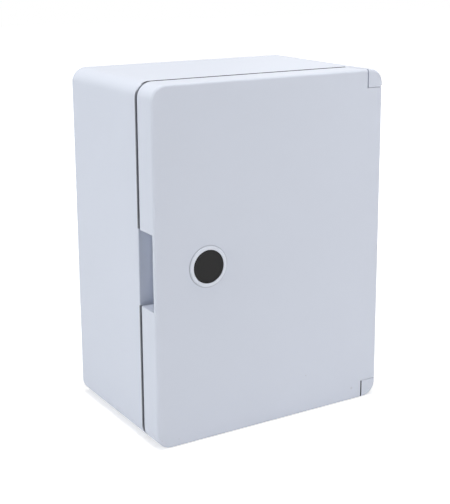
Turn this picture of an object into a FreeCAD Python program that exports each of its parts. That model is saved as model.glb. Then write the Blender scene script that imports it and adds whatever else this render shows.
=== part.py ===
import FreeCAD, Part
import math
import os
import re
import Sketcher

# Hinged plastic wall box, in millimetres.
# The box stands on its bottom. X runs to the right, Y to the back, Z up.
# The origin is at the middle of the base, halfway between the lock ring's front and the box's back.
# In the comments, depth means the distance behind the door's front face.

SIZES = [
    # The box as a whole
    ("box_width", 300.0),
    ("box_height", 400.0),
    ("box_depth", 200.0),
    ("corner_radius", 17.0),
    ("wall", 3.5),
    ("back_wall", 4.0),
    ("back_edge", 3.0),
    ("rim_edge", 0.8),
    # The door shell
    ("door_depth", 32.5),
    ("door_gap", 4.2),
    ("door_plate", 4.0),
    ("door_wall", 3.0),
    ("door_edge", 3.0),
    # The body's rim: a shoulder that turns inwards and a collar that stands forward from it
    ("shoulder", 4.0),
    ("collar_inset", 24.0),
    ("collar_hinge_inset", 40.0),
    ("collar_wall", 3.0),
    ("collar_radius", 10.0),
    # The gasket in its channel
    ("gasket_width", 8.0),
    ("gasket_thick", 5.0),
    ("gasket_clearance", 0.3),
    ("glue_line", 0.05),
    ("channel_wall", 2.0),
    ("channel_depth", 9.0),
    # The hinge: corner blocks on the body, barrels on the door, a pin in each
    ("block_width", 20.6),
    ("block_height", 21.0),
    ("block_gap", 1.8),
    ("block_seam", 0.5),
    ("block_spread", 6.0),
    ("pin_inset", 10.0),
    ("pin_setback", 7.0),
    ("pin_radius", 2.0),
    ("pin_clearance", 0.05),
    ("pin_seat", 15.0),
    ("pin_head_radius", 2.9),
    ("pin_head", 2.0),
    ("hinge_barrel_radius", 6.0),
    ("hinge_barrel_length", 40.0),
    # The finger pocket in the door's left wall
    ("pocket_height", 85.0),
    ("pocket_reach", 18.0),
    ("pocket_wall", 2.5),
    ("pocket_edge", 0.6),
    # The quarter-turn lock
    ("lock_inset", 65.0),
    ("lock_rise", 200.0),
    ("ring_radius", 22.8),
    ("ring_proud", 1.6),
    ("ring_edge", 0.8),
    ("knob_radius", 18.5),
    ("knob_gap", 0.3),
    ("knob_thick", 6.0),
    ("knob_setback", 0.4),
    ("knob_rim", 2.4),
    ("knob_dish", 0.25),
    ("cup_wall", 1.7),
    ("cup_floor", 4.0),
    ("lock_clearance", 0.3),
    ("seal_width", 1.2),
    ("seal_thick", 1.1),
    ("neck_wall", 4.0),
    ("spindle_radius", 5.0),
    ("spindle_clearance", 0.05),
    ("spindle_square", 7.0),
    ("nut_flats", 52.0),
    ("nut_thick", 4.0),
    ("cam_clearance", 1.0),
    ("cam_thick", 2.5),
    ("cam_width", 18.0),
    ("cam_reach", 46.0),
    ("cam_tip_radius", 5.0),
    ("cam_screw_radius", 2.0),
    ("cam_screw_length", 12.0),
    ("cam_hole_length", 14.0),
    ("cam_head_flats", 7.0),
    ("cam_head", 2.6),
    ("cam_washer_radius", 6.5),
    ("cam_washer_thick", 1.0),
    # The mounting plate on its four bosses
    ("plate_width", 220.0),
    ("plate_height", 330.0),
    ("plate_thick", 2.0),
    ("plate_corner", 8.0),
    ("plate_margin", 12.0),
    ("plate_hole_radius", 2.8),
    ("boss_radius", 7.5),
    ("boss_rise", 14.0),
    ("insert_flats", 7.0),
    ("insert_length", 9.0),
    ("insert_fit", 0.02),
    ("insert_relief", 2.0),
    ("screw_radius", 2.4),
    ("screw_length", 9.5),
    ("screw_flats", 8.0),
    ("screw_head", 3.2),
    ("screw_cross", 1.2),
    ("seat_gap", 0.05),
    # The wall-fixing holes in the back's corners
    ("fixing_span_x", 262.0),
    ("fixing_span_z", 362.0),
    ("fixing_hole_radius", 3.5),
    ("fixing_boss_radius", 9.0),
    ("fixing_boss_rise", 3.0),
]

# Places that several pieces share, worked out from the sizes above
PLACES = [
    ("front", "ring_proud - (box_depth + ring_proud) / 2"),
    ("back", "front + box_depth"),
    ("half_width", "box_width / 2"),
    ("mid_height", "box_height / 2"),
    ("plate_back", "front + door_plate"),
    ("door_rear", "front + door_depth"),
    ("rim", "door_rear + door_gap"),
    ("rim_back", "rim + shoulder"),
    ("back_inside", "back - back_wall"),
    ("collar_width", "box_width - collar_inset - collar_hinge_inset"),
    ("collar_height", "box_height - 2 * collar_inset"),
    ("collar_mid", "(collar_inset - collar_hinge_inset) / 2"),
    ("collar_front", "plate_back + gasket_thick + gasket_clearance"),
    ("seal_line_width", "collar_width - collar_wall"),
    ("seal_line_height", "collar_height - collar_wall"),
    ("seal_line_radius", "collar_radius - collar_wall / 2"),
    ("channel_width", "gasket_width + 2 * gasket_clearance"),
    ("block_left", "half_width - block_width"),
    ("notch_left", "block_left - block_gap"),
    ("lean_start", "front + door_edge"),
    ("lean", "block_spread / (rim - lean_start)"),
    ("lean_at_rear", "lean * (door_rear - lean_start)"),
    ("lean_at_root", "lean * (rim + rim_edge - lean_start)"),
    ("pin_x", "half_width - pin_inset"),
    ("pin_y", "front + pin_setback"),
    ("lock_x", "lock_inset - half_width"),
    ("knob_front", "knob_setback - ring_proud"),
    ("knob_back", "knob_front + knob_thick"),
    ("cup_bottom", "knob_back + knob_gap"),
    ("cup_bore", "knob_radius + knob_gap"),
    ("cup_radius", "cup_bore + cup_wall"),
    ("neck_radius", "spindle_radius + neck_wall"),
    ("cam_front", "door_depth + door_gap + shoulder + cam_clearance"),
    ("cam_back", "cam_front + cam_thick"),
    ("neck_end", "cam_front - lock_clearance"),
    ("plate_front", "back_inside - boss_rise - plate_thick"),
    ("screw_span_x", "plate_width - 2 * plate_margin"),
    ("screw_span_z", "plate_height - 2 * plate_margin"),
]

doc = FreeCAD.newDocument("wall_box")
sheet = doc.addObject("Spreadsheet::Sheet", "Sizes")
pieces = []
QUARTER_TURN = math.pi / 2


def fill_sheet():
    """Write each size and each worked-out place in a row of its own, named by its alias."""
    row = 1
    for name, number in SIZES:
        sheet.set("A%d" % row, name)
        sheet.set("B%d" % row, str(number))
        sheet.setAlias("B%d" % row, name)
        row += 1
    for name, formula in PLACES:
        sheet.set("A%d" % row, name)
        sheet.set("B%d" % row, "=" + formula)
        sheet.setAlias("B%d" % row, name)
        row += 1
    doc.recompute()


def reword(formula, change):
    """Write a formula again, with each size name in it changed."""
    return re.sub(r"[a-z]\w*", lambda found: change(found.group()), formula)


def cell(formula):
    """The same formula, reading its sizes from the sheet."""
    return reword(formula, lambda name: "Sizes." + name)


def number_of(name):
    """The number that the sheet holds for a name."""
    held = sheet.get(name)
    return float(getattr(held, "Value", held))


def value(formula):
    """The present value of a formula."""
    numbers = reword(formula, lambda name: "(%.9f)" % number_of(name))
    return FreeCAD.Units.Quantity(numbers).Value


def new_piece(label):
    """Start a moulded, turned or cut piece with its own name."""
    body = doc.addObject("PartDesign::Body", label)
    body.Label = label
    pieces.append(body)
    return body


def place(body, x, y, z, turned=False):
    """Put a piece at its place. A turned piece is modelled along Z and lies along Y, from front to back."""
    if turned:
        body.Placement = FreeCAD.Placement(
            FreeCAD.Vector(0, 0, 0), FreeCAD.Rotation(FreeCAD.Vector(1, 0, 0), -90)
        )
    body.setExpression("Placement.Base.x", cell(x))
    body.setExpression("Placement.Base.y", cell(y))
    body.setExpression("Placement.Base.z", cell(z))


def origin_feature(body, role):
    """One of a body's own planes or axes."""
    return [item for item in body.Origin.OriginFeatures if item.Role == role][0]


def new_sketch(body, name, plane, across="0", up="0", out="0"):
    """A sketch on one of the body's own planes, moved to a place on and out of that plane."""
    sketch = body.newObject("Sketcher::SketchObject", name)
    sketch.AttachmentSupport = [(origin_feature(body, plane), "")]
    sketch.MapMode = "FlatFace"
    for axis, formula in (("x", across), ("y", up), ("z", out)):
        if formula != "0":
            sketch.setExpression(".AttachmentOffset.Base." + axis, cell(formula))
    return sketch


def front_view(body, name, depth_place, x="0", z="0"):
    """A sketch seen from the front, at a place along Y."""
    return new_sketch(body, name, "XZ_Plane", x, z, "-(" + depth_place + ")")


def top_view(body, name, level, x="0", y="0"):
    """A sketch seen from above, at a level along Z."""
    return new_sketch(body, name, "XY_Plane", x, y, level)


def bind(sketch, constraint, formula):
    """Add a dimension to a sketch and tie it to the sheet."""
    number = sketch.addConstraint(constraint)
    sketch.setExpression("Constraints[%d]" % number, cell(formula))


def pin_point(sketch, geometry, point, across, up):
    """Fix a point of the sketch by its two distances from the sketch's origin."""
    for kind, formula, axis in (("DistanceX", across, -2), ("DistanceY", up, -1)):
        if formula == "0":
            sketch.addConstraint(Sketcher.Constraint("PointOnObject", geometry, point, axis))
        else:
            now = value(formula)
            bind(sketch, Sketcher.Constraint(kind, -1, 1, geometry, point, now), formula)


def draw_outline(sketch, points):
    """A closed outline of straight edges through points given by formulas."""
    spots = [FreeCAD.Vector(value(across), value(up), 0) for across, up in points]
    first = sketch.GeometryCount
    count = len(points)
    for index in range(count):
        sketch.addGeometry(Part.LineSegment(spots[index], spots[(index + 1) % count]), False)
    for index in range(count):
        following = first + (index + 1) % count
        sketch.addConstraint(Sketcher.Constraint("Coincident", first + index, 2, following, 1))
    for index, (across, up) in enumerate(points):
        pin_point(sketch, first + index, 1, across, up)


def draw_circle(sketch, across, up, radius):
    """A circle by its centre and radius."""
    centre = FreeCAD.Vector(value(across), value(up), 0)
    normal = FreeCAD.Vector(0, 0, 1)
    ring = sketch.addGeometry(Part.Circle(centre, normal, value(radius)), False)
    pin_point(sketch, ring, 3, across, up)
    bind(sketch, Sketcher.Constraint("Radius", ring, value(radius)), radius)


def draw_four(draw, sketch, span_x, span_z, size):
    """The same circle or hexagon at each corner of a rectangle centred on the sketch's origin."""
    for side_x in ("-", ""):
        for side_z in ("-", ""):
            across = "%s(%s) / 2" % (side_x, span_x)
            up = "%s(%s) / 2" % (side_z, span_z)
            draw(sketch, across, up, size)


def draw_hexagon(sketch, across, up, flats):
    """A regular hexagon by its centre and the distance between its flats."""
    half = "(%s) / 2" % flats
    corner = "(%s) / 3 ^ 0.5" % flats
    draw_outline(sketch, [
        ("%s + %s" % (across, corner), up),
        ("%s + %s / 2" % (across, corner), "%s + %s" % (up, half)),
        ("%s - %s / 2" % (across, corner), "%s + %s" % (up, half)),
        ("%s - %s" % (across, corner), up),
        ("%s - %s / 2" % (across, corner), "%s - %s" % (up, half)),
        ("%s + %s / 2" % (across, corner), "%s - %s" % (up, half)),
    ])


def draw_rounded(sketch, width, height, radius):
    """A rectangle with round corners, centred on the sketch's origin."""
    half_w = value(width) / 2
    half_h = value(height) / 2
    rad = value(radius)
    normal = FreeCAD.Vector(0, 0, 1)
    first = sketch.GeometryCount
    corners = [(1, -1, -1), (1, 1, 0), (-1, 1, 1), (-1, -1, 2)]
    for side_x, side_y, turn in corners:
        # The straight edge that leads to this corner, then the corner's arc
        centre = FreeCAD.Vector(side_x * (half_w - rad), side_y * (half_h - rad), 0)
        start = QUARTER_TURN * turn
        circle = Part.Circle(centre, normal, rad)
        arc = Part.ArcOfCircle(circle, start, start + QUARTER_TURN)
        if side_x * side_y < 0:
            begin = FreeCAD.Vector(-centre.x, side_y * half_h, 0)
            end = FreeCAD.Vector(centre.x, side_y * half_h, 0)
        else:
            begin = FreeCAD.Vector(side_x * half_w, -centre.y, 0)
            end = FreeCAD.Vector(side_x * half_w, centre.y, 0)
        sketch.addGeometry(Part.LineSegment(begin, end), False)
        sketch.addGeometry(arc, False)
    for index in range(8):
        following = first + (index + 1) % 8
        sketch.addConstraint(Sketcher.Constraint("Tangent", first + index, 2, following, 1))
    for index in range(4):
        kind = "Horizontal" if index in (0, 2) else "Vertical"
        sketch.addConstraint(Sketcher.Constraint(kind, first + 2 * index))
    for index in (3, 5, 7):
        sketch.addConstraint(Sketcher.Constraint("Equal", first + 1, first + index))
    sketch.addConstraint(Sketcher.Constraint("Symmetric", first + 1, 3, first + 5, 3, -1, 1))
    bind(sketch, Sketcher.Constraint("Radius", first + 1, rad), radius)
    across = Sketcher.Constraint("DistanceX", first + 6, 1, first + 2, 1, 2 * half_w)
    bind(sketch, across, width)
    along = Sketcher.Constraint("DistanceY", first, 1, first + 4, 1, 2 * half_h)
    bind(sketch, along, height)


def pad(body, name, sketch, length, reverse=False):
    """Add material on a sketch."""
    feature = body.newObject("PartDesign::Pad", name)
    feature.Profile = sketch
    feature.setExpression("Length", cell(length))
    feature.Reversed = reverse
    return finish_feature(body, feature)


def pocket(body, name, sketch, length, reverse=False):
    """Take material away under a sketch, and make sure that some went."""
    before = body.Shape.Volume
    feature = body.newObject("PartDesign::Pocket", name)
    feature.Profile = sketch
    feature.setExpression("Length", cell(length))
    feature.Reversed = reverse
    finish_feature(body, feature)
    if body.Shape.Volume > before - 0.01:
        raise RuntimeError(body.Label + ": " + name + " takes nothing away")
    return feature


def revolve(body, name, sketch):
    """Turn a half section round the piece's own axis."""
    feature = body.newObject("PartDesign::Revolution", name)
    feature.Profile = sketch
    feature.ReferenceAxis = (sketch, ["V_Axis"])
    feature.Angle = 360
    return finish_feature(body, feature)


def fillet(body, name, radius, chosen):
    """Round the edges of the last feature that the test picks."""
    return dress_edges(body, name, "Fillet", "Radius", radius, chosen)


def bevel(body, name, width, chosen):
    """Bevel the edges of the last feature that the test picks."""
    return dress_edges(body, name, "Chamfer", "Size", width, chosen)


def dress_edges(body, name, kind, dimension, formula, chosen):
    """A fillet or a bevel on the edges that the test picks by their bounds."""
    base = body.Tip
    names = []
    for number, edge in enumerate(base.Shape.Edges, 1):
        if chosen(edge.BoundBox):
            names.append("Edge%d" % number)
    feature = body.newObject("PartDesign::" + kind, name)
    feature.Base = (base, names)
    feature.setExpression(dimension, cell(formula))
    return finish_feature(body, feature)


def finish_feature(body, feature):
    """Recompute, and stop where a feature fails."""
    doc.recompute()
    if "Invalid" in feature.State or "Error" in feature.State or not feature.Shape.isValid():
        raise RuntimeError(body.Label + ": " + feature.Name + " failed")
    return feature


def near(a, b):
    """Whether two lengths are the same."""
    return abs(a - b) < 0.01


def at_depth(place_name):
    """A test that picks the edges lying in one plane seen from the front."""
    level = value(place_name)
    return lambda box: near(box.YMin, level) and near(box.YMax, level)


def rectangle(left, right, low, high):
    """The corner points of a rectangle given by its four sides."""
    return [(left, low), (right, low), (right, high), (left, high)]


# The two hinge corners: the sign turns the upper corner's heights into the lower one's
HINGES = [("upper", "box_height - (%s)"), ("lower", "%s")]


def build_body():
    """The moulded box: walls and back, the rim that the door closes on, hinge blocks and bosses."""
    body = new_piece("body")
    outside = front_view(body, "body_outline", "back", "0", "mid_height")
    draw_rounded(outside, "box_width", "box_height", "corner_radius")
    pad(body, "body_mass", outside, "back - rim")

    fillet(body, "body_back_edge", "back_edge", at_depth("back"))
    bevel(body, "body_rim_edge", "rim_edge", at_depth("rim"))

    inside = front_view(body, "cavity_outline", "rim_back", "0", "mid_height")
    draw_rounded(inside, "box_width - 2 * wall", "box_height - 2 * wall", "corner_radius - wall")
    pocket(body, "cavity", inside, "back_inside - rim_back")

    collar = front_view(body, "collar_outline", "rim", "collar_mid", "mid_height")
    draw_rounded(collar, "collar_width", "collar_height", "collar_radius")
    pad(body, "collar", collar, "rim - collar_front")

    neck = front_view(body, "neck_outline", "collar_front", "collar_mid", "mid_height")
    draw_rounded(
        neck,
        "collar_width - 2 * collar_wall",
        "collar_height - 2 * collar_wall",
        "collar_radius - collar_wall",
    )
    pocket(body, "neck", neck, "rim_back - collar_front")

    for name, height in HINGES:
        add_hinge_block(body, name, height)
    add_bosses(body)


def add_hinge_block(body, name, height):
    """A corner block that stands forward to the door's face, with a blind hole for the pin."""
    top = height % "0"
    foot = height % "block_height"
    block = front_view(body, name + "_block_outline", "rim + rim_edge")
    arc_x = "half_width - corner_radius"
    arc_z = height % "corner_radius"
    draw_corner(block, "block_left", "half_width", foot, top, arc_x, arc_z, name == "upper")
    pad(body, name + "_block", block, "rim + rim_edge - front")
    level = value("front")
    left = value("block_left")
    low = min(value(foot), value(top))
    high = max(value(foot), value(top))

    def outer_edges(box):
        in_front = near(box.YMin, level) and near(box.YMax, level)
        in_height = box.ZMin > low - 0.1 and box.ZMax < high + 0.1
        on_seam = near(box.ZMin, value(foot)) and near(box.ZMax, value(foot))
        in_width = box.XMin > left - 0.1 and box.XMax > left + 0.1
        return in_front and in_height and in_width and not on_seam

    fillet(body, name + "_block_edge", "door_edge", outer_edges)
    # Towards its root, which lies behind the rim's bevel, the block grows wider
    lean = top_view(body, name + "_block_lean_outline", foot)
    draw_outline(lean, [
        ("block_left", "lean_start"),
        ("block_left + door_edge", "lean_start"),
        ("block_left + door_edge", "rim + rim_edge"),
        ("block_left - lean_at_root", "rim + rim_edge"),
    ])
    pad(body, name + "_block_lean", lean, "block_height", name == "lower")
    seat = top_view(body, name + "_pin_seat_outline", foot, "pin_x", "pin_y")
    draw_circle(seat, "0", "0", "pin_radius + pin_clearance")
    pocket(body, name + "_pin_seat", seat, "pin_seat + pin_clearance", name == "upper")


def draw_corner(sketch, left, right, foot, top, arc_x, arc_z, is_upper):
    """A rectangle whose outer corner is round: straight edges and one arc of the box's corner."""
    names = [(left, foot), (right, foot), (right, arc_z), (arc_x, top), (left, top)]
    spots = [FreeCAD.Vector(value(across), value(up), 0) for across, up in names]
    centre = FreeCAD.Vector(value(arc_x), value(arc_z), 0)
    circle = Part.Circle(centre, FreeCAD.Vector(0, 0, 1), value("corner_radius"))
    first_angle = 0.0 if is_upper else -QUARTER_TURN
    sketch.addGeometry(Part.LineSegment(spots[0], spots[1]), False)
    sketch.addGeometry(Part.LineSegment(spots[1], spots[2]), False)
    sketch.addGeometry(Part.ArcOfCircle(circle, first_angle, first_angle + QUARTER_TURN), False)
    sketch.addGeometry(Part.LineSegment(spots[3], spots[4]), False)
    sketch.addGeometry(Part.LineSegment(spots[4], spots[0]), False)
    arc_start = 1 if is_upper else 2
    arc_end = 2 if is_upper else 1
    sketch.addConstraint(Sketcher.Constraint("Coincident", 0, 2, 1, 1))
    sketch.addConstraint(Sketcher.Constraint("Tangent", 1, 2, 2, arc_start))
    sketch.addConstraint(Sketcher.Constraint("Tangent", 2, arc_end, 3, 1))
    sketch.addConstraint(Sketcher.Constraint("Coincident", 3, 2, 4, 1))
    sketch.addConstraint(Sketcher.Constraint("Coincident", 4, 2, 0, 1))
    sketch.addConstraint(Sketcher.Constraint("Horizontal", 0))
    sketch.addConstraint(Sketcher.Constraint("Vertical", 1))
    sketch.addConstraint(Sketcher.Constraint("Horizontal", 3))
    sketch.addConstraint(Sketcher.Constraint("Vertical", 4))
    bind(sketch, Sketcher.Constraint("Radius", 2, value("corner_radius")), "corner_radius")
    pin_point(sketch, 2, 3, arc_x, arc_z)
    pin_point(sketch, 0, 1, left, foot)


def add_bosses(body):
    """Bosses on the inside of the back: four for the mounting plate, four round the wall fixings."""
    plate_boss = front_view(body, "plate_boss_outline", "back_inside", "0", "mid_height")
    draw_four(draw_circle, plate_boss, "screw_span_x", "screw_span_z", "boss_radius")
    pad(body, "plate_bosses", plate_boss, "boss_rise")
    insert_hole = front_view(body, "insert_hole_outline", "back_inside - boss_rise", "0", "mid_height")
    draw_four(draw_hexagon, insert_hole, "screw_span_x", "screw_span_z", "insert_flats + 2 * insert_fit")
    pocket(body, "insert_holes", insert_hole, "insert_length + insert_relief")

    fixing = front_view(body, "fixing_boss_outline", "back_inside", "0", "mid_height")
    draw_four(draw_circle, fixing, "fixing_span_x", "fixing_span_z", "fixing_boss_radius")
    pad(body, "fixing_bosses", fixing, "fixing_boss_rise")
    hole = front_view(body, "fixing_hole_outline", "back_inside - fixing_boss_rise", "0", "mid_height")
    draw_four(draw_circle, hole, "fixing_span_x", "fixing_span_z", "fixing_hole_radius")
    pocket(body, "fixing_holes", hole, "fixing_boss_rise + back_wall")


def build_door():
    """The moulded door: a shallow shell with notched hinge corners, finger pocket and gasket channel."""
    door = new_piece("door")
    outside = front_view(door, "door_outline", "door_rear", "0", "mid_height")
    draw_rounded(outside, "box_width", "box_height", "corner_radius")
    pad(door, "door_mass", outside, "door_depth")
    fillet(door, "door_front_edge", "door_edge", at_depth("front"))
    bevel(door, "door_rear_edge", "rim_edge", at_depth("door_rear"))

    inside = front_view(door, "door_hollow_outline", "door_rear", "0", "mid_height")
    inner_width = "box_width - 2 * door_wall"
    inner_height = "box_height - 2 * door_wall"
    draw_rounded(inside, inner_width, inner_height, "corner_radius - door_wall")
    pocket(door, "door_hollow", inside, "door_depth - door_plate", True)

    for name, height in HINGES:
        add_hinge_notch(door, name, height)
    add_finger_pocket(door)
    add_channel_rib(door, "outer_rib", "channel_width + 2 * channel_wall", "channel_width")
    add_channel_rib(door, "inner_rib", "-channel_width", "-channel_width - 2 * channel_wall")
    add_lock_hole(door)


def add_hinge_notch(door, name, height):
    """The corner is cut out round the body's block, with walls on both sides and a barrel beside it."""
    is_upper = name == "upper"
    wall_foot = height % "block_height + block_seam + door_wall"
    cut_foot = height % "block_height + block_seam"
    beyond = height % "-block_height"
    walls = top_view(door, name + "_notch_walls_outline", wall_foot)
    draw_outline(walls, [
        ("notch_left - door_wall", "plate_back"),
        ("half_width - door_wall / 2", "plate_back"),
        ("half_width - door_wall / 2", "door_rear"),
        ("notch_left - door_wall - lean_at_rear", "door_rear"),
    ])
    pad(door, name + "_notch_walls", walls, "block_height + block_seam + door_wall / 2", not is_upper)
    cut = front_view(door, name + "_notch_outline", "front")
    draw_outline(cut, rectangle("notch_left", "half_width + block_width", cut_foot, beyond))
    pocket(door, name + "_notch", cut, "door_depth")
    # The notch's side leans as the block's does, so that the gap between them is even
    lean = top_view(door, name + "_notch_lean_outline", cut_foot)
    draw_outline(lean, [
        ("notch_left", "lean_start"),
        ("notch_left + door_edge", "lean_start"),
        ("notch_left + door_edge", "door_rear"),
        ("notch_left - lean_at_rear", "door_rear"),
    ])
    pocket(door, name + "_notch_lean", lean, "2 * block_height", is_upper)

    # The barrel is round towards the middle of the door and joins the side wall with a flat web
    barrel = top_view(door, name + "_barrel_outline", cut_foot)
    draw_barrel(barrel)
    pad(door, name + "_barrel", barrel, "hinge_barrel_length", is_upper)
    bore = top_view(door, name + "_bore_outline", cut_foot, "pin_x", "pin_y")
    draw_circle(bore, "0", "0", "pin_radius + pin_clearance")
    pocket(door, name + "_bore", bore, "hinge_barrel_length", not is_upper)


def draw_barrel(sketch):
    """A half circle round the pin, carried on to the side wall by two straight edges."""
    radius = value("hinge_barrel_radius")
    centre = FreeCAD.Vector(value("pin_x"), value("pin_y"), 0)
    side = value("half_width - door_wall / 2")
    circle = Part.Circle(centre, FreeCAD.Vector(0, 0, 1), radius)
    low = FreeCAD.Vector(centre.x, centre.y - radius, 0)
    high = FreeCAD.Vector(centre.x, centre.y + radius, 0)
    low_side = FreeCAD.Vector(side, low.y, 0)
    high_side = FreeCAD.Vector(side, high.y, 0)
    sketch.addGeometry(Part.ArcOfCircle(circle, QUARTER_TURN, 3 * QUARTER_TURN), False)
    sketch.addGeometry(Part.LineSegment(low, low_side), False)
    sketch.addGeometry(Part.LineSegment(low_side, high_side), False)
    sketch.addGeometry(Part.LineSegment(high_side, high), False)
    sketch.addConstraint(Sketcher.Constraint("Tangent", 0, 2, 1, 1))
    sketch.addConstraint(Sketcher.Constraint("Coincident", 1, 2, 2, 1))
    sketch.addConstraint(Sketcher.Constraint("Coincident", 2, 2, 3, 1))
    sketch.addConstraint(Sketcher.Constraint("Tangent", 3, 2, 0, 1))
    sketch.addConstraint(Sketcher.Constraint("Horizontal", 1))
    sketch.addConstraint(Sketcher.Constraint("Vertical", 2))
    sketch.addConstraint(Sketcher.Constraint("Horizontal", 3))
    bind(sketch, Sketcher.Constraint("Radius", 0, radius), "hinge_barrel_radius")
    pin_point(sketch, 0, 3, "pin_x", "pin_y")
    reach = Sketcher.Constraint("DistanceX", -1, 1, 1, 2, side)
    bind(sketch, reach, "half_width - door_wall / 2")


def add_finger_pocket(door):
    """A pocket for the fingers: open to the left side and to the rear, with the door's plate in front."""
    low = "lock_rise - pocket_height / 2"
    high = "lock_rise + pocket_height / 2"
    reach = "pocket_reach - half_width"
    walls = front_view(door, "pocket_walls_outline", "door_rear")
    wall_sides = (reach + " + pocket_wall", low + " - pocket_wall", high + " + pocket_wall")
    draw_outline(walls, rectangle("door_wall / 2 - half_width", *wall_sides))
    pad(door, "pocket_walls", walls, "door_depth - door_plate")
    hollow = front_view(door, "pocket_outline", "plate_back")
    draw_outline(hollow, rectangle("-half_width - door_wall", reach, low, high))
    pocket(door, "finger_pocket", hollow, "door_depth - door_plate")
    side = value("-half_width")

    def mouth(box):
        on_side = near(box.XMin, side) and near(box.XMax, side)
        return on_side and box.ZMin > value(low) - 0.1 and box.ZMax < value(high) + 0.1

    fillet(door, "pocket_mouth_edge", "pocket_edge", mouth)


def add_channel_rib(door, name, wider, narrower):
    """One of the two ribs that hold the gasket on its line inside the door."""
    rib = front_view(door, name + "_outline", "plate_back", "collar_mid", "mid_height")
    for change in (wider, narrower):
        width = "seal_line_width + " + change
        height = "seal_line_height + " + change
        radius = "seal_line_radius + (" + change + ") / 2"
        draw_rounded(rib, width, height, radius)
    pad(door, name, rib, "channel_depth", True)


def add_lock_hole(door):
    """The round hole for the lock, with a shallow seat for its seal."""
    hole = front_view(door, "lock_hole_outline", "front", "lock_x", "lock_rise")
    draw_circle(hole, "0", "0", "cup_radius + lock_clearance")
    pocket(door, "lock_hole", hole, "door_plate")
    seat = front_view(door, "seal_seat_outline", "front", "lock_x", "lock_rise")
    draw_circle(seat, "0", "0", "cup_radius + 2 * lock_clearance + seal_width")
    pocket(door, "seal_seat", seat, "seal_thick + glue_line")


def build_gasket():
    """The soft seal: one endless strip in the door's channel."""
    gasket = new_piece("door_gasket")
    strip = front_view(gasket, "gasket_outline", "plate_back + glue_line", "collar_mid", "mid_height")
    for change in ("gasket_width", "-gasket_width"):
        width = "seal_line_width + " + change
        height = "seal_line_height + " + change
        radius = "seal_line_radius + (" + change + ") / 2"
        draw_rounded(strip, width, height, radius)
    pad(gasket, "gasket", strip, "gasket_thick - glue_line", True)


def build_hinge_pins():
    """Two turned pins, each through the door's barrel and into the blind hole of a corner block."""
    for name, height in HINGES:
        label = "hinge_pin_" + name
        pin = new_piece(label)
        grip = "block_seam + hinge_barrel_length + pin_clearance"
        section = new_sketch(pin, label + "_section", "XZ_Plane")
        points = [
            ("0", "pin_seat"),
            ("pin_radius", "pin_seat"),
            ("pin_radius", "-(" + grip + ")"),
            ("pin_head_radius", "-(" + grip + ")"),
            ("pin_head_radius", "-(" + grip + ") - pin_head"),
            ("0", "-(" + grip + ") - pin_head"),
        ]
        if name == "lower":
            points = [(across, "-(" + up + ")") for across, up in points]
        draw_outline(section, points)
        revolve(pin, label + "_turned", section)
        place(pin, "pin_x", "pin_y", height % "block_height")


def build_lock_housing():
    """The ring and cup of the lock: a flange on the door, a cup for the knob and a long neck."""
    housing = new_piece("lock_housing")
    section = new_sketch(housing, "housing_section", "XZ_Plane")
    bore = "spindle_radius + spindle_clearance"
    draw_outline(section, [
        ("cup_bore", "-ring_proud"),
        ("ring_radius - ring_edge", "-ring_proud"),
        ("ring_radius", "ring_edge - ring_proud"),
        ("ring_radius", "-glue_line"),
        ("cup_radius", "-glue_line"),
        ("cup_radius", "cup_bottom + cup_floor"),
        ("neck_radius", "cup_bottom + cup_floor"),
        ("neck_radius", "neck_end"),
        (bore, "neck_end"),
        (bore, "cup_bottom"),
        ("cup_bore", "cup_bottom"),
    ])
    revolve(housing, "housing_turned", section)
    place(housing, "lock_x", "front", "lock_rise", True)


def build_lock_knob():
    """The black knob: a dished disc with its spindle, which is square where the cam sits."""
    knob = new_piece("lock_knob")
    section = new_sketch(knob, "knob_section", "XZ_Plane")
    draw_outline(section, [
        ("0", "knob_front + knob_dish"),
        ("knob_radius - knob_rim - knob_dish", "knob_front + knob_dish"),
        ("knob_radius - knob_rim", "knob_front"),
        ("knob_radius - knob_gap", "knob_front"),
        ("knob_radius", "knob_front + knob_gap"),
        ("knob_radius", "knob_back"),
        ("spindle_radius", "knob_back"),
        ("spindle_radius", "cam_front - glue_line"),
        ("0", "cam_front - glue_line"),
    ])
    revolve(knob, "knob_turned", section)
    square = top_view(knob, "spindle_square_outline", "cam_front - glue_line")
    half = "spindle_square / 2"
    draw_outline(square, rectangle("-" + half, half, "-" + half, half))
    pad(knob, "spindle_square", square, "cam_thick")
    hole = top_view(knob, "knob_screw_hole_outline", "cam_front - glue_line + cam_thick")
    draw_circle(hole, "0", "0", "cam_screw_radius + spindle_clearance")
    pocket(knob, "knob_screw_hole", hole, "cam_hole_length")
    place(knob, "lock_x", "front", "lock_rise", True)


def build_lock_seal():
    """A flat ring under the lock's flange, in its seat in the door."""
    seal = new_piece("lock_seal")
    outline = top_view(seal, "seal_outline", "0")
    draw_circle(outline, "0", "0", "cup_radius + lock_clearance + seal_width")
    draw_circle(outline, "0", "0", "cup_radius + lock_clearance")
    pad(seal, "seal_ring", outline, "seal_thick - glue_line")
    place(seal, "lock_x", "front + glue_line", "lock_rise", True)


def build_lock_nut():
    """A wide flat nut on the cup, behind the door's plate."""
    nut = new_piece("lock_nut")
    outline = top_view(nut, "nut_outline", "door_plate + glue_line")
    draw_hexagon(outline, "0", "0", "nut_flats")
    draw_circle(outline, "0", "0", "cup_radius + spindle_clearance")
    pad(nut, "nut_plate", outline, "nut_thick")
    place(nut, "lock_x", "front", "lock_rise", True)


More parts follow.
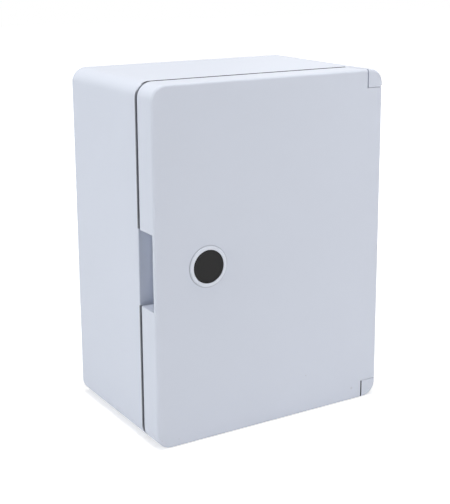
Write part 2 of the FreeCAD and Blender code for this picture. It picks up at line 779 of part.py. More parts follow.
def build_lock_cam():
    """The steel arm on the spindle's square. It points down when the lock is open."""
    cam = new_piece("lock_cam")
    outline = top_view(cam, "cam_outline", "cam_front")
    half = "cam_width / 2"
    inner = "cam_width / 2 - cam_tip_radius"
    draw_outline(outline, [
        ("-(" + inner + ")", "-(" + half + ")"),
        (inner, "-(" + half + ")"),
        (half, "-(" + inner + ")"),
        (half, "cam_reach - cam_tip_radius"),
        (inner, "cam_reach"),
        ("-(" + inner + ")", "cam_reach"),
        ("-(" + half + ")", "cam_reach - cam_tip_radius"),
        ("-(" + half + ")", "-(" + inner + ")"),
    ])
    hole = "spindle_square / 2 + spindle_clearance"
    draw_outline(outline, rectangle("-(" + hole + ")", hole, "-(" + hole + ")", hole))
    pad(cam, "cam_arm", outline, "cam_thick")
    place(cam, "lock_x", "front", "lock_rise", True)


def build_cam_fixing():
    """The washer and the screw that hold the cam on the spindle."""
    washer = new_piece("cam_washer")
    outline = top_view(washer, "washer_outline", "cam_back + glue_line")
    draw_circle(outline, "0", "0", "cam_washer_radius")
    draw_circle(outline, "0", "0", "cam_screw_radius + spindle_clearance")
    pad(washer, "washer_ring", outline, "cam_washer_thick")
    place(washer, "lock_x", "front", "lock_rise", True)

    seat = "cam_back + 2 * glue_line + cam_washer_thick"
    screw = new_piece("cam_screw")
    shank = top_view(screw, "cam_shank_outline", "cam_back - cam_screw_length")
    draw_circle(shank, "0", "0", "cam_screw_radius")
    pad(screw, "cam_shank", shank, seat + " + cam_screw_length - cam_back")
    head = top_view(screw, "cam_head_outline", seat)
    draw_hexagon(head, "0", "0", "cam_head_flats")
    pad(screw, "cam_head", head, "cam_head")
    add_cross(screw, "cam_cross", seat + " + cam_head", "cam_head_flats / 3", "cam_head / 2", False)
    place(screw, "lock_x", "front", "lock_rise", True)


def add_cross(screw, name, level, reach, depth, reverse):
    """A cross recess in a screw's head."""
    half = "screw_cross / 2"
    cross = top_view(screw, name + "_outline", level)
    draw_outline(cross, [
        ("-" + half, "-" + reach), (half, "-" + reach), (half, "-" + half), (reach, "-" + half),
        (reach, half), (half, half), (half, reach), ("-" + half, reach),
        ("-" + half, half), ("-" + reach, half), ("-" + reach, "-" + half), ("-" + half, "-" + half),
    ])
    pocket(screw, name, cross, depth, reverse)


def build_mounting_plate():
    """The steel plate that carries the equipment, with four round holes."""
    plate = new_piece("mounting_plate")
    outline = front_view(plate, "plate_outline", "plate_front + plate_thick - seat_gap", "0", "mid_height")
    draw_rounded(outline, "plate_width", "plate_height", "plate_corner")
    draw_four(draw_circle, outline, "screw_span_x", "screw_span_z", "plate_hole_radius")
    pad(plate, "plate_sheet", outline, "plate_thick")


def build_plate_fixings():
    """A screw and a brass insert at each corner of the mounting plate."""
    number = 0
    for side_x in ("-", ""):
        for side_z in ("-", ""):
            number += 1
            x = "%sscrew_span_x / 2" % side_x
            z = "mid_height + %s(screw_span_z) / 2" % side_z
            build_plate_screw("plate_screw_%d" % number, x, z)
            build_plate_insert("plate_insert_%d" % number, x, z)


def build_plate_screw(label, x, z):
    """A hexagon head screw with a cross recess. Its zero is the face of the plate under its head."""
    screw = new_piece(label)
    shank = top_view(screw, label + "_shank_outline", "-seat_gap")
    draw_circle(shank, "0", "0", "screw_radius")
    pad(screw, label + "_shank", shank, "screw_length + seat_gap")
    head = top_view(screw, label + "_head_outline", "-seat_gap")
    draw_hexagon(head, "0", "0", "screw_flats")
    pad(screw, label + "_head", head, "screw_head - seat_gap", True)
    add_cross(screw, label + "_cross", "-screw_head", "screw_flats / 3", "screw_head / 2", True)
    place(screw, x, "plate_front - seat_gap", z, True)


def build_plate_insert(label, x, z):
    """A hexagonal brass insert, set flush in its boss. Its zero is the boss's face."""
    insert = new_piece(label)
    outline = top_view(insert, label + "_outline", "0")
    draw_hexagon(outline, "0", "0", "insert_flats")
    draw_circle(outline, "0", "0", "screw_radius + seat_gap")
    pad(insert, label + "_bar", outline, "insert_length")
    place(insert, x, "plate_front + plate_thick", z, True)


def write_pieces():
    """Check every object and every shape, then write one file for each piece."""
    doc.recompute()
    for item in doc.Objects:
        if "Invalid" in item.State or "Error" in item.State:
            raise RuntimeError(item.Label + " is in a failed state")
    os.makedirs("parts", exist_ok=True)
    for piece in pieces:
        shape = piece.Shape
        if shape.isNull() or not shape.isValid() or len(shape.Solids) != 1:
            raise RuntimeError(piece.Label + " has no single valid solid")
        shape.exportStep("parts/%s.step" % piece.Label)


fill_sheet()
build_body()
build_door()
build_gasket()
build_hinge_pins()
build_lock_housing()
build_lock_knob()
build_lock_seal()
build_lock_nut()
build_lock_cam()
build_cam_fixing()
build_mounting_plate()
build_plate_fixings()
write_pieces()
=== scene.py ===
import math

import bpy
import numpy as np
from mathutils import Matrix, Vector


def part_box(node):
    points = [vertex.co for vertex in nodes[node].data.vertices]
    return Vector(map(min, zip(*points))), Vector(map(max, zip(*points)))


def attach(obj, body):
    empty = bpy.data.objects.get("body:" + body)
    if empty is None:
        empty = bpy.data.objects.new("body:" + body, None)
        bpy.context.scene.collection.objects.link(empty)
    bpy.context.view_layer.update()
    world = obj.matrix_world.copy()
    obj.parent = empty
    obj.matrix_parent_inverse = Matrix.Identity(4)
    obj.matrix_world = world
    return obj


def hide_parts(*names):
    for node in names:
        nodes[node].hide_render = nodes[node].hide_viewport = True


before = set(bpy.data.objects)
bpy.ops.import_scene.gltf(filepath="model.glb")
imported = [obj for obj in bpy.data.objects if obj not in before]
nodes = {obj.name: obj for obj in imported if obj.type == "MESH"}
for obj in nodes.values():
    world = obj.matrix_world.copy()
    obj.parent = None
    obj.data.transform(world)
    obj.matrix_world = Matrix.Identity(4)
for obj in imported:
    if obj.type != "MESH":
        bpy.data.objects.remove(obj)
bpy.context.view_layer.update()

MM = 0.001
scene = bpy.context.scene

# The camera stands to the left of the box and a little above it, and looks at the door and the left side.
# Its shift is chosen small, so that other views aren't cut off. With that shift and a box 200 mm deep,
# its place and lens were fitted to the box's edges in the photograph, which is 450 x 504 pixels.
PHOTO_HEIGHT = 504
FOCAL_PIXELS = 1104.9
SENSOR_WIDTH = 36.0
CAMERA_AZIMUTH = math.radians(-32.42)
CAMERA_ELEVATION = math.radians(13.16)
CAMERA_DISTANCE = 1206.6 * MM
CAMERA_TARGET = Vector((-31.3 * MM, -99.2 * MM, 264.6 * MM))
CAMERA_SHIFT = (-0.05, -0.099)

towards_camera = Vector((
    math.sin(CAMERA_AZIMUTH) * math.cos(CAMERA_ELEVATION),
    -math.cos(CAMERA_AZIMUTH) * math.cos(CAMERA_ELEVATION),
    math.sin(CAMERA_ELEVATION),
))
camera = bpy.data.objects.new("camera", bpy.data.cameras.new("camera"))
scene.collection.objects.link(camera)
scene.camera = camera
camera.location = CAMERA_TARGET + CAMERA_DISTANCE * towards_camera
camera.rotation_mode = "QUATERNION"
camera.rotation_quaternion = (-towards_camera).to_track_quat("-Z", "Y")
camera.data.sensor_width = SENSOR_WIDTH
camera.data.lens = FOCAL_PIXELS * SENSOR_WIDTH / PHOTO_HEIGHT
camera.data.shift_x, camera.data.shift_y = CAMERA_SHIFT
camera.data.dof.use_dof = False
scene.view_settings.view_transform = "Standard"


# The studio: a white floor under a faint, slightly blue sky, and soft lamps above, left, in front and behind.
# The eye and mirrors see the sky as plain white, and the floor too, where it keeps the box's soft shadow.
# Away from the box, where the lamps no longer reach, the floor glows up to that same white.
WHITE = (1.0, 1.0, 1.0, 1.0)
SKY_COLOUR = (0.93, 0.96, 1.0, 1.0)
SKY_STRENGTH = 0.06
FLOOR_COLOUR = (0.75, 0.75, 0.75, 1.0)
FLOOR_LIFT = 0.52
FLOOR_FADE = (0.45, 1.3)
FLOOR_HALF = 6.0
FLOOR_DROP = 0.2 * MM
BOX_MIDDLE = Vector((0, 0, 200 * MM))
# Each lamp's place and width in metres, its power in watts and its colour.
LAMPS = {
    "lamp_above": ((-0.1, -0.06, 2.4), 1.2, 43.0, (1.0, 0.985, 0.95)),
    "lamp_left": ((-2.6, -0.05, 0.7), 1.0, 35.2, (0.985, 1.0, 1.0)),
    "lamp_front": ((1.4, -2.5, 0.9), 1.2, 43.2, (1.0, 1.0, 1.0)),
    "lamp_back": ((1.9, 2.4, 0.3), 0.6, 22.0, (1.0, 1.0, 1.0)),
}


def feed(tree, node, inputs):
    """Give a node's inputs, named or numbered, plain values or links from other nodes' sockets."""
    for name, given in inputs.items():
        if isinstance(given, bpy.types.NodeSocket):
            tree.links.new(given, node.inputs[name])
        else:
            node.inputs[name].default_value = given


def add_node(tree, kind, inputs=None, **settings):
    """Add a shader node with its settings, and then its inputs."""
    node = tree.nodes.new("ShaderNode" + kind)
    for name, setting in settings.items():
        setattr(node, name, setting)
    feed(tree, node, inputs or {})
    return node


def maths(tree, operation, *given):
    """The result of one operation on one to three numbers or sockets."""
    return add_node(tree, "Math", dict(enumerate(given)), operation=operation).outputs[0]


def mixed(tree, share, first, second):
    """The first colour where the share is 0, the second where it is 1, and even steps between."""
    blend = add_node(tree, "Mix", {"Factor": share, "A": first, "B": second}, data_type="RGBA")
    return blend.outputs["Result"]


def ranged(tree, value, span, onto=(0.0, 1.0), **settings):
    """Carry a value from one span onto another, evenly unless settings say otherwise, and hold its ends."""
    return add_node(tree, "MapRange", {"Value": value, "From Min": span[0], "From Max": span[1],
                                       "To Min": onto[0], "To Max": onto[1]}, **settings).outputs[0]


def seen_plainly(tree):
    """1 for rays from the eye, straight or by a mirror or glass, and 0 for the light that fills shadows."""
    path = add_node(tree, "LightPath").outputs
    direct = maths(tree, "MAXIMUM", path["Is Camera Ray"], path["Is Glossy Ray"])
    return maths(tree, "MAXIMUM", direct, path["Is Transmission Ray"])


world = bpy.data.worlds.new("sky")
world.use_nodes = True
scene.world = world
sky_tree = world.node_tree
sky_tree.nodes.clear()
sky_seen = seen_plainly(sky_tree)
sky_colour = mixed(sky_tree, sky_seen, SKY_COLOUR, WHITE)
sky_strength = ranged(sky_tree, sky_seen, (0.0, 1.0), (SKY_STRENGTH, 1.0))
background = add_node(sky_tree, "Background", {"Color": sky_colour, "Strength": sky_strength})
add_node(sky_tree, "OutputWorld", {"Surface": background.outputs[0]})

floor_mesh = bpy.data.meshes.new("floor")
floor_corners = [(x * FLOOR_HALF, y * FLOOR_HALF, -FLOOR_DROP)
                 for x, y in ((-1, -1), (1, -1), (1, 1), (-1, 1))]
floor_mesh.from_pydata(floor_corners, [], [(0, 1, 2, 3)])
floor = bpy.data.objects.new("floor", floor_mesh)
scene.collection.objects.link(floor)
floor_paint = bpy.data.materials.new("floor white")
floor_paint.use_nodes = True
floor_tree = floor_paint.node_tree
floor_tree.nodes.clear()
matt = add_node(floor_tree, "BsdfDiffuse", {"Color": FLOOR_COLOUR})
from_box = add_node(floor_tree, "VectorMath", {0: add_node(floor_tree, "TexCoord").outputs["Object"]},
                    operation="LENGTH")
faded = ranged(floor_tree, from_box.outputs["Value"], FLOOR_FADE, (FLOOR_LIFT, 1.0),
               interpolation_type="SMOOTHSTEP")
lift = maths(floor_tree, "MULTIPLY", seen_plainly(floor_tree), faded)
glow = add_node(floor_tree, "Emission", {"Strength": lift})
both_parts = add_node(floor_tree, "AddShader", {0: matt.outputs[0], 1: glow.outputs[0]})
add_node(floor_tree, "OutputMaterial", {"Surface": both_parts.outputs[0]})
floor_mesh.materials.append(floor_paint)

for lamp_name, (place, lamp_size, power, lamp_colour) in LAMPS.items():
    lamp = bpy.data.objects.new(lamp_name, bpy.data.lights.new(lamp_name, "AREA"))
    scene.collection.objects.link(lamp)
    lamp.location = place
    lamp.rotation_euler = (BOX_MIDDLE - lamp.location).to_track_quat("-Z", "Y").to_euler()
    lamp.data.size = lamp_size
    lamp.data.energy = power
    lamp.data.color = lamp_colour


# The body and the door are injection mouldings in light grey polycarbonate, from tools with a spark-eroded
# skin: a shallow grain, faintly cloudy in its colour and gloss. The door's front has a few specks of dirt,
# and shade is painted into the colour in the gap behind the door and in a thin line round the lock ring's
# foot.
SHELL_GREY = (0.65, 0.687, 0.78, 1.0)
SHELL_ROUGHNESS = 0.6
SHELL_GLOSS = 0.18
SHELL_CLOUD = 0.012
GRAIN_PER_METRE = 1700.0
GRAIN_DEPTH = 0.02 * MM
GRAIN_POLISH = 0.16
CLOUDS_PER_METRE = 7.0
CLOUD_SPAN = (0.25, 0.75)
CLOUD_POLISH = 0.025
# Each speck's X, Z and radius in millimetres.
SPECKS = ((114.0, 15.0, 2.1), (142.3, 22.3, 0.9), (46.0, 46.0, 1.0), (-145.0, 11.0, 0.9), (-124.0, 8.5, 0.9))
SPECK_TINT = (0.528, 0.5456, 0.5984, 1.0)
SPECK_RAGS_PER_METRE = 900.0
# Painted shade in the gap behind the door and on the lower hinge block's inner side, darker where faces look
# up.
RIM_GAP_SHADE = (0.22, 0.23, 0.26, 1.0)
LEDGE_GAP_SHADE = (0.05, 0.052, 0.06, 1.0)
BLOCK_GAP_SHADE = (0.08, 0.083, 0.09, 1.0)
# Painted shade in a thin line round the foot of the lock's ring.
FOOT_SHADE = (0.42, 0.445, 0.505, 1.0)
RIM_BEHIND_DOOR = 4.2 * MM
BLOCK_FROM = 120.0 * MM
EDGE_FADE = 1.0 * MM
# A tint is full under the first value of a pair and gone over the second. Pairs with no unit are in speck
# radii, or they are parts of the surface's normal: towards the back or the right, and downwards.
SPECK_EDGE = (0.5, 1.5)
RIM_SHADE_INSET = (1.5 * MM, 3.5 * MM)
RIM_SHADE_DEPTH = (1.0 * MM, 1.2 * MM)
POCKET_HALF = (42.5 * MM, 43.5 * MM)
BLOCK_SHADE_DEPTH = (3.2 * MM, 4.5 * MM)
FOOT_SHADE_REACH = (0.5 * MM, 1.3 * MM)
FOOT_SHADE_DEPTH = (0.3 * MM, 0.5 * MM)
FACING = (-0.5, -0.3)
LEDGE_LEAN = (-0.6, -0.4)


def new_group(name, inputs, outputs):
    """Start a node group with named sockets, each input with a starting value.

    A socket's name says whether it is a colour, a direction or place, or else a number."""
    tree = bpy.data.node_groups.new(name, "ShaderNodeTree")
    kinds = {"Colour": "NodeSocketColor", "Normal": "NodeSocketVector", "Place": "NodeSocketVector"}
    for socket_name, start in inputs.items():
        kind = kinds.get(socket_name, "NodeSocketFloat")
        socket = tree.interface.new_socket(socket_name, in_out="INPUT", socket_type=kind)
        socket.default_value = start
    for socket_name in outputs:
        kind = kinds.get(socket_name, "NodeSocketFloat")
        tree.interface.new_socket(socket_name, in_out="OUTPUT", socket_type=kind)
    return tree, tree.nodes.new("NodeGroupInput").outputs, tree.nodes.new("NodeGroupOutput")


def make_moulded_skin():
    """Moulded plastic: a fine grain raises the normal, and slow clouds change the colour and roughness."""
    tree, given, out = new_group(
        "moulded skin",
        {"Colour": SHELL_GREY, "Roughness": SHELL_ROUGHNESS, "Grain": GRAIN_PER_METRE, "Depth": GRAIN_DEPTH,
         "Cloud": SHELL_CLOUD},
        ["Colour", "Roughness", "Normal"],
    )
    spot = add_node(tree, "TexCoord").outputs["Object"]
    clouds = add_node(tree, "TexNoise", {"Vector": spot, "Scale": CLOUDS_PER_METRE, "Detail": 3.0,
                                         "Roughness": 0.5}).outputs["Fac"]
    grain = add_node(tree, "TexNoise", {"Vector": spot, "Scale": given["Grain"], "Detail": 3.0,
                                        "Roughness": 0.6}).outputs["Fac"]
    swing = ranged(tree, clouds, CLOUD_SPAN, (-1.0, 1.0))
    shade = maths(tree, "MULTIPLY_ADD", swing, given["Cloud"], 1.0)
    colour = add_node(tree, "VectorMath", {0: given["Colour"], "Scale": shade}, operation="SCALE")
    polish = maths(tree, "MULTIPLY_ADD", grain, GRAIN_POLISH, -GRAIN_POLISH / 2)
    cloudy = maths(tree, "MULTIPLY_ADD", swing, CLOUD_POLISH, polish)
    bump = add_node(tree, "Bump", {"Height": grain, "Distance": given["Depth"], "Strength": 1.0})
    feed(tree, out, {"Colour": colour.outputs[0], "Roughness": maths(tree, "ADD", given["Roughness"], cloudy),
                     "Normal": bump.outputs[0]})
    return tree


def new_finish(name, **shader):
    """A material with one shader. Each setting is named as its socket, with spaces as underscores."""
    finish = bpy.data.materials.new(name)
    finish.use_nodes = True
    tree = finish.node_tree
    tree.nodes.clear()
    constants = {key.replace("_", " "): given for key, given in shader.items()}
    surface = add_node(tree, "BsdfPrincipled", constants)
    add_node(tree, "OutputMaterial", {"Surface": surface.outputs[0]})
    return finish, tree, surface


def paint(finish, node_name):
    """Give a carried-over piece its finish."""
    mesh = nodes[node_name].data
    mesh.materials.clear()
    mesh.materials.append(finish)


moulded_skin = make_moulded_skin()


def make_moulded(name, colour, roughness, grain, depth, cloud, **shader):
    """A plain moulded finish: the skin feeds the shader's colour, roughness and normal."""
    finish, tree, surface = new_finish(name, **shader)
    skin = add_node(tree, "Group", node_tree=moulded_skin, inputs={
        "Colour": colour, "Roughness": roughness, "Grain": grain, "Depth": depth, "Cloud": cloud}).outputs
    feed(tree, surface, {"Base Color": skin["Colour"], "Roughness": skin["Roughness"],
                         "Normal": skin["Normal"]})
    return finish


def below(tree, value, full, none):
    """1 where a value is under the first limit, 0 where it is over the second, and an even fall between."""
    return ranged(tree, value, (full, none), (1.0, 0.0))


def all_of(tree, *shares):
    """The product of shares, which is 1 only where each of them is."""
    product = shares[0]
    for share in shares[1:]:
        product = maths(tree, "MULTIPLY", product, share)
    return product


def tint_where(finish, share, tint):
    """Mix a tint over a finish's colour where the share says."""
    tree = finish.node_tree
    surface = next(node for node in tree.nodes if node.type == "BSDF_PRINCIPLED")
    colour = surface.inputs["Base Color"].links[0].from_socket
    feed(tree, surface, {"Base Color": mixed(tree, share, colour, tint)})


def measured_from(tree, point):
    """How far a place lies from a point along X, Y and Z, first with the sign and then without it."""
    spot = add_node(tree, "TexCoord").outputs["Object"]
    offset = add_node(tree, "VectorMath", {0: spot, 1: tuple(point)}, operation="SUBTRACT").outputs[0]
    length = add_node(tree, "VectorMath", {0: offset}, operation="ABSOLUTE").outputs[0]
    return (add_node(tree, "SeparateXYZ", {0: offset}).outputs,
            add_node(tree, "SeparateXYZ", {0: length}).outputs)


def add_specks(finish, front):
    """Darken the colour round each speck: the nearer to its middle, the more, on an uneven edge."""
    tree = finish.node_tree
    spot = add_node(tree, "TexCoord").outputs["Object"]
    ragged = add_node(tree, "TexNoise", {"Vector": spot, "Scale": SPECK_RAGS_PER_METRE, "Detail": 2.0})
    for x, z, radius in SPECKS:
        away = add_node(tree, "VectorMath", {0: spot, 1: (x * MM, front, z * MM)}, operation="DISTANCE")
        edge = maths(tree, "MULTIPLY_ADD", ragged.outputs["Fac"], radius * MM, away.outputs["Value"])
        tint_where(finish, below(tree, edge, *(limit * radius * MM for limit in SPECK_EDGE)), SPECK_TINT)


def add_painted_foot_shade(finish, front, low, high):
    """Paint shade in a thin circle on the door's front, round the foot of the lock's ring."""
    tree = finish.node_tree
    axis = Vector(((low.x + high.x) / 2, front, (low.z + high.z) / 2))
    offset, away = measured_from(tree, axis)
    flat = add_node(tree, "CombineXYZ", {0: offset[0], 2: offset[2]})
    from_axis = add_node(tree, "VectorMath", {0: flat.outputs[0]}, operation="LENGTH").outputs["Value"]
    radius = (high.x - low.x) / 2
    # Painted shade round the ring's foot.
    at_foot = all_of(tree, below(tree, from_axis, *(radius + reach for reach in FOOT_SHADE_REACH)),
                     below(tree, away[1], *FOOT_SHADE_DEPTH))
    tint_where(finish, at_foot, FOOT_SHADE)


def add_painted_gap_shade(finish, rim, low, high):
    """Paint shade in the gap behind the door, apart from the stretch that the finger pocket opens.

    That is the rim's bevelled edge and the outermost part of its shoulder, most of all where they look
    upwards, and the front part of the lower hinge block's inner side, which looks to the left."""
    tree = finish.node_tree
    offset, away = measured_from(tree, Vector(((low.x + high.x) / 2, rim, (low.z + high.z) / 2)))
    inset_x = maths(tree, "SUBTRACT", (high.x - low.x) / 2, away[0])
    inset_z = maths(tree, "SUBTRACT", (high.z - low.z) / 2, away[2])
    inset = maths(tree, "MINIMUM", inset_x, inset_z)
    facing = add_node(tree, "SeparateXYZ", {0: add_node(tree, "TexCoord").outputs["Normal"]}).outputs
    in_pocket = all_of(tree, below(tree, away[2], *POCKET_HALF), below(tree, offset[0], 0.0, EDGE_FADE))
    # Painted shade on the rim's bevel and shoulder in the gap.
    at_rim = all_of(tree, below(tree, inset, *RIM_SHADE_INSET), below(tree, away[1], *RIM_SHADE_DEPTH),
                    below(tree, facing[1], *FACING), below(tree, in_pocket, 0.0, 1.0))
    tint_where(finish, at_rim, RIM_GAP_SHADE)
    # Darker painted shade where those faces look upwards, since the lamp above lights them more.
    downwards = maths(tree, "MULTIPLY", facing[2], -1.0)
    tint_where(finish, all_of(tree, at_rim, below(tree, downwards, *LEDGE_LEAN)), LEDGE_GAP_SHADE)
    # Painted shade on the front of the lower hinge block's inner side, in the gap.
    leftwards = maths(tree, "MULTIPLY", offset[0], -1.0)
    at_block = all_of(tree, below(tree, leftwards, -BLOCK_FROM, EDGE_FADE - BLOCK_FROM),
                      below(tree, offset[1], *(low.y - rim + depth for depth in BLOCK_SHADE_DEPTH)),
                      below(tree, offset[2], -BLOCK_FROM, EDGE_FADE - BLOCK_FROM),
                      below(tree, facing[0], *FACING))
    tint_where(finish, at_block, BLOCK_GAP_SHADE)


body_finish, door_finish = (
    make_moulded(name, SHELL_GREY, SHELL_ROUGHNESS, GRAIN_PER_METRE, GRAIN_DEPTH, SHELL_CLOUD,
                 Specular_IOR_Level=SHELL_GLOSS)
    for name in ("shell grey", "door grey"))
door_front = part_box("door")[0].y
add_specks(door_finish, door_front)
# Painted shade round the foot of the lock's ring.
add_painted_foot_shade(door_finish, door_front, *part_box("lock_housing"))
# Painted shade in the gap behind the door.
add_painted_gap_shade(body_finish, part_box("door")[1].y + RIM_BEHIND_DOOR, *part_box("body"))
paint(body_finish, "body")
paint(door_finish, "door")


# The lock: a light grey ring and cup, which a wide dark nut clamps in the door, and a satin black disc that
# turns in it. All are moulded in glass-filled plastic. The ring is smoother than the shell and a little
# lighter.
RING_GREY = (0.685, 0.72, 0.81, 1.0)
KNOB_BLACK = (0.0075, 0.0075, 0.008, 1.0)
KNOB_GLOSS = 0.19
NUT_GREY = (0.055, 0.056, 0.06, 1.0)
paint(make_moulded("ring grey", RING_GREY, roughness=0.38, grain=2600.0, depth=0.006 * MM, cloud=0.012),
      "lock_housing")
paint(make_moulded("disc black", KNOB_BLACK, roughness=0.5, grain=2200.0, depth=0.01 * MM, cloud=0.06,
                   Specular_IOR_Level=KNOB_GLOSS), "lock_knob")
paint(make_moulded("nut dark grey", NUT_GREY, roughness=0.55, grain=900.0, depth=0.03 * MM, cloud=0.12),
      "lock_nut")


# The seals: a foam gasket laid as one endless bead in the door's channel, and a flat rubber ring under the
# lock. The foam has closed cells and is poured wet, so its top is crowned and its skin has small pores.
GASKET_BLACK = (0.055, 0.056, 0.06, 1.0)
# Painted shade in the foam's pits.
PORE_SHADE_BLACK = (0.02, 0.02, 0.022, 1.0)
PORES_PER_METRE = 1600.0
PORE_SPAN = (0.05, 0.45)
SWELLS_PER_METRE = 120.0
SWELL_OVER_PORE = 2.0
FOAM_RELIEF = 0.12 * MM
FOAM_ROUGHNESS = (0.72, 0.92)
FOAM_IOR = 1.4
RUBBER_BLACK = (0.03, 0.03, 0.032, 1.0)
BEAD_WIDTH = 8.0 * MM
BEAD_CORNER = 8.5 * MM
BEAD_CROWN = 0.58
BEAD_PROFILE_STEPS = 22
BEAD_CORNER_STEPS = 14
BEAD_SIDE_STEPS = 40


def add_grid(name, points):
    """Make a mesh of a grid of points that closes both ways, with its faces outward.

    Rows of points follow one another along the path, and columns go round the section."""
    rows, columns = points.shape[:2]
    here, there = np.meshgrid(np.arange(rows), np.arange(columns), indexing="ij")
    next_row = (here + 1) % rows
    next_column = (there + 1) % columns
    faces = np.stack([here * columns + there, here * columns + next_column,
                      next_row * columns + next_column, next_row * columns + there], axis=-1)
    mesh = bpy.data.meshes.new(name)
    mesh.from_pydata(points.reshape(-1, 3).tolist(), [], faces.reshape(-1, 4).tolist())
    mesh.polygons.foreach_set("use_smooth", [True] * len(mesh.polygons))
    piece = bpy.data.objects.new(name, mesh)
    scene.collection.objects.link(piece)
    return piece


def rounded_path(width, height, radius, side_steps, corner_steps):
    """Points and outward directions, once round a rectangle with round corners in the X-Z plane.

    Each corner is a quarter circle, and each side is even steps between two corners."""
    places, outward = [], []
    for turn in range(4):
        angles = math.pi / 2 * (turn + np.linspace(0, 1, corner_steps))
        direction = np.stack([np.cos(angles), np.sin(angles)], axis=1)
        centre = np.sign(direction.mean(0)) * (width / 2 - radius, height / 2 - radius)
        corner = centre + radius * direction
        places.append(corner)
        outward.append(direction)
        out_x, out_z = direction[-1]
        length = (height if abs(out_x) > abs(out_z) else width) - 2 * radius
        along = length * np.array([-out_z, out_x])
        steps = np.arange(1, side_steps)[:, None] / side_steps
        places.append(corner[-1] + steps * along)
        outward.append(np.repeat(direction[-1][None], side_steps - 1, axis=0))
    return np.concatenate(places), np.concatenate(outward)


def make_gasket_bead():
    """Carry the bead's section along its path.

    The section is flat below. Above, it is a half ellipse whose rise is raised to a power under 1, so that
    its sides stand up steeply."""
    low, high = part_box("door_gasket")
    path, outward = rounded_path(high.x - low.x - BEAD_WIDTH, high.z - low.z - BEAD_WIDTH, BEAD_CORNER,
                                 BEAD_SIDE_STEPS, BEAD_CORNER_STEPS)
    angle = np.linspace(0, math.pi, BEAD_PROFILE_STEPS)
    across = np.cos(angle) * BEAD_WIDTH / 2
    rise = np.sin(angle) ** BEAD_CROWN * (high.y - low.y)
    points = np.empty((len(path), BEAD_PROFILE_STEPS, 3))
    points[..., 0] = (low.x + high.x) / 2 + path[:, :1] + outward[:, :1] * across
    points[..., 1] = low.y + rise
    points[..., 2] = (low.z + high.z) / 2 + path[:, 1:] + outward[:, 1:] * across
    return add_grid("gasket_bead", points)


def make_foam_finish():
    """Foam skin: a small pit at the middle of each cell of a Voronoi pattern, with shade painted into it,
    over slow swells.
    """
    finish, tree, surface = new_finish("foam black", IOR=FOAM_IOR)
    spot = add_node(tree, "TexCoord").outputs["Object"]
    cells = add_node(tree, "TexVoronoi", {"Vector": spot, "Scale": PORES_PER_METRE, "Randomness": 1.0})
    pits = ranged(tree, cells.outputs["Distance"], PORE_SPAN)
    swells = add_node(tree, "TexNoise", {"Vector": spot, "Scale": SWELLS_PER_METRE,
                                         "Detail": 2.0}).outputs["Fac"]
    height = maths(tree, "MULTIPLY_ADD", swells, SWELL_OVER_PORE, pits)
    bump = add_node(tree, "Bump", {"Height": height, "Distance": FOAM_RELIEF, "Strength": 1.0})
    # The pits get painted shade: a darker colour where the bump sinks.
    feed(tree, surface, {"Base Color": mixed(tree, pits, PORE_SHADE_BLACK, GASKET_BLACK),
                         "Roughness": ranged(tree, swells, (0.0, 1.0), FOAM_ROUGHNESS),
                         "Normal": bump.outputs[0]})
    return finish


gasket_bead = make_gasket_bead()
gasket_bead.data.materials.append(make_foam_finish())
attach(gasket_bead, "door")
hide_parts("door_gasket")
paint(make_moulded("rubber black", RUBBER_BLACK, roughness=0.62, grain=1400.0, depth=0.015 * MM, cloud=0.08),
      "lock_seal")


# The metal pieces that are turned or pressed: stainless hinge pins and zinc-plated cam, washer and screws.
# Turning leaves fine rings round each axis, and the zinc coat has faint blue and straw patches.
PIN_STEEL = (0.56, 0.56, 0.58, 1.0)
PIN_ROUGHNESS = 0.2
ZINC = (0.47, 0.485, 0.515, 1.0)
ZINC_STRAW = (0.50, 0.485, 0.435, 1.0)
ZINC_ROUGHNESS = 0.42
PATCHES_PER_METRE = 160.0
PATCH_SPAN = (0.35, 0.7)
MARKS_PER_METRE = 2500.0
MARK_DEPTH = 0.01 * MM
MARK_ROUGHNESS = 0.22
PLATE_CORNERS = range(1, 5)


def make_turned_marks():
    """Rings of turning: noise that is even all round the axis.

    It is read at the distance from the axis and at the place along it."""
    tree, given, out = new_group(
        "turned marks",
        {"Place": (0.0, 0.0, 0.0), "Rings": MARKS_PER_METRE, "Depth": MARK_DEPTH, "Base": PIN_ROUGHNESS},
        ["Roughness", "Normal"],
    )
    parts = add_node(tree, "SeparateXYZ", {0: given["Place"]}).outputs
    flat = add_node(tree, "CombineXYZ", {0: parts[0], 1: parts[1]})
    radius = add_node(tree, "VectorMath", {0: flat.outputs[0]}, operation="LENGTH")
    lathe = add_node(tree, "CombineXYZ", {0: radius.outputs["Value"], 2: parts[2]})
    rings = add_node(tree, "TexNoise", {"Vector": lathe.outputs[0], "Scale": given["Rings"], "Detail": 2.0,
                                        "Roughness": 0.55}).outputs["Fac"]
    bump = add_node(tree, "Bump", {"Height": rings, "Distance": given["Depth"]})
    feed(tree, out, {"Roughness": maths(tree, "MULTIPLY_ADD", rings, MARK_ROUGHNESS, given["Base"]),
                     "Normal": bump.outputs[0]})
    return tree


turned_marks = make_turned_marks()


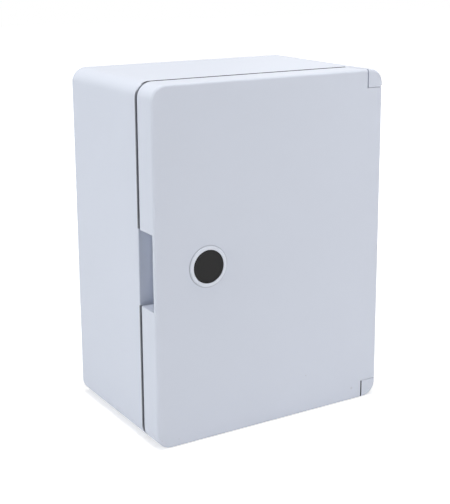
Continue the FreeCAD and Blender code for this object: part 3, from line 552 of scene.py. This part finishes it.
def paint_turned(node_name, metal, colour, base, patch_colour=None, along_y=True):
    """Give a piece a turned metal finish, centred on its axis along Y or Z, and patches if they are named."""
    finish, tree, surface = new_finish(metal + " " + node_name, Metallic=1.0, Base_Color=colour)
    low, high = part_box(node_name)
    spot = add_node(tree, "TexCoord").outputs["Object"]
    centred = add_node(tree, "VectorMath", {0: spot, 1: tuple((low + high) / 2)}, operation="SUBTRACT")
    stood = add_node(tree, "Mapping", {"Vector": centred.outputs[0],
                                       "Rotation": (math.pi / 2 if along_y else 0, 0, 0)})
    marks = add_node(tree, "Group", {"Place": stood.outputs[0], "Base": base}, node_tree=turned_marks).outputs
    feed(tree, surface, {"Roughness": marks["Roughness"], "Normal": marks["Normal"]})
    if patch_colour:
        patches = add_node(tree, "TexNoise", {"Vector": spot, "Scale": PATCHES_PER_METRE, "Detail": 2.0})
        share = ranged(tree, patches.outputs["Fac"], PATCH_SPAN)
        feed(tree, surface, {"Base Color": mixed(tree, share, colour, patch_colour)})
    paint(finish, node_name)


for pin_name in ("hinge_pin_upper", "hinge_pin_lower"):
    paint_turned(pin_name, "steel", PIN_STEEL, PIN_ROUGHNESS, along_y=False)
for zinc_name in ("lock_cam", "cam_washer", "cam_screw", *("plate_screw_%d" % n for n in PLATE_CORNERS)):
    paint_turned(zinc_name, "zinc", ZINC, ZINC_ROUGHNESS, patch_colour=ZINC_STRAW)


# The mounting plate is cut from galvanised sheet, whose zinc shows as flat crystals, each with its own
# shine. It hangs on four brass inserts that are pressed into the body's bosses.
PLATE_DARK = (0.33, 0.345, 0.36, 1.0)
PLATE_LIGHT = (0.50, 0.515, 0.53, 1.0)
PLATE_ROUGHNESS = (0.42, 0.58)
SPANGLES_PER_METRE = 95.0
BENDS_PER_METRE = 60.0
BEND = 10.0 * MM
SHEET_GRAIN_PER_METRE = 1800.0
SHEET_GRAIN_DEPTH = 0.01 * MM
BRASS = (0.72, 0.52, 0.24, 1.0)
BRASS_ROUGHNESS = 0.22


def make_spangle_finish():
    """Each cell of a Voronoi pattern is one crystal, with one brightness and one roughness all over it."""
    finish, tree, surface = new_finish("galvanised sheet", Metallic=1.0)
    spot = add_node(tree, "TexCoord").outputs["Object"]
    bent = add_node(tree, "TexNoise", {"Vector": spot, "Scale": BENDS_PER_METRE, "Detail": 2.0})
    bend = add_node(tree, "VectorMath", {0: bent.outputs["Color"], "Scale": BEND}, operation="SCALE")
    moved = add_node(tree, "VectorMath", {0: spot, 1: bend.outputs[0]}, operation="ADD")
    cells = add_node(tree, "TexVoronoi", {"Vector": moved.outputs[0], "Scale": SPANGLES_PER_METRE})
    shine = add_node(tree, "SeparateColor", {0: cells.outputs["Color"]}).outputs
    grain = add_node(tree, "TexNoise", {"Vector": spot, "Scale": SHEET_GRAIN_PER_METRE, "Detail": 2.0})
    bump = add_node(tree, "Bump", {"Height": grain.outputs["Fac"], "Distance": SHEET_GRAIN_DEPTH})
    feed(tree, surface, {"Base Color": mixed(tree, shine[0], PLATE_DARK, PLATE_LIGHT),
                         "Roughness": ranged(tree, shine[1], (0.0, 1.0), PLATE_ROUGHNESS),
                         "Normal": bump.outputs[0]})
    return finish


paint(make_spangle_finish(), "mounting_plate")
for number in PLATE_CORNERS:
    paint_turned("plate_insert_%d" % number, "brass", BRASS, BRASS_ROUGHNESS)
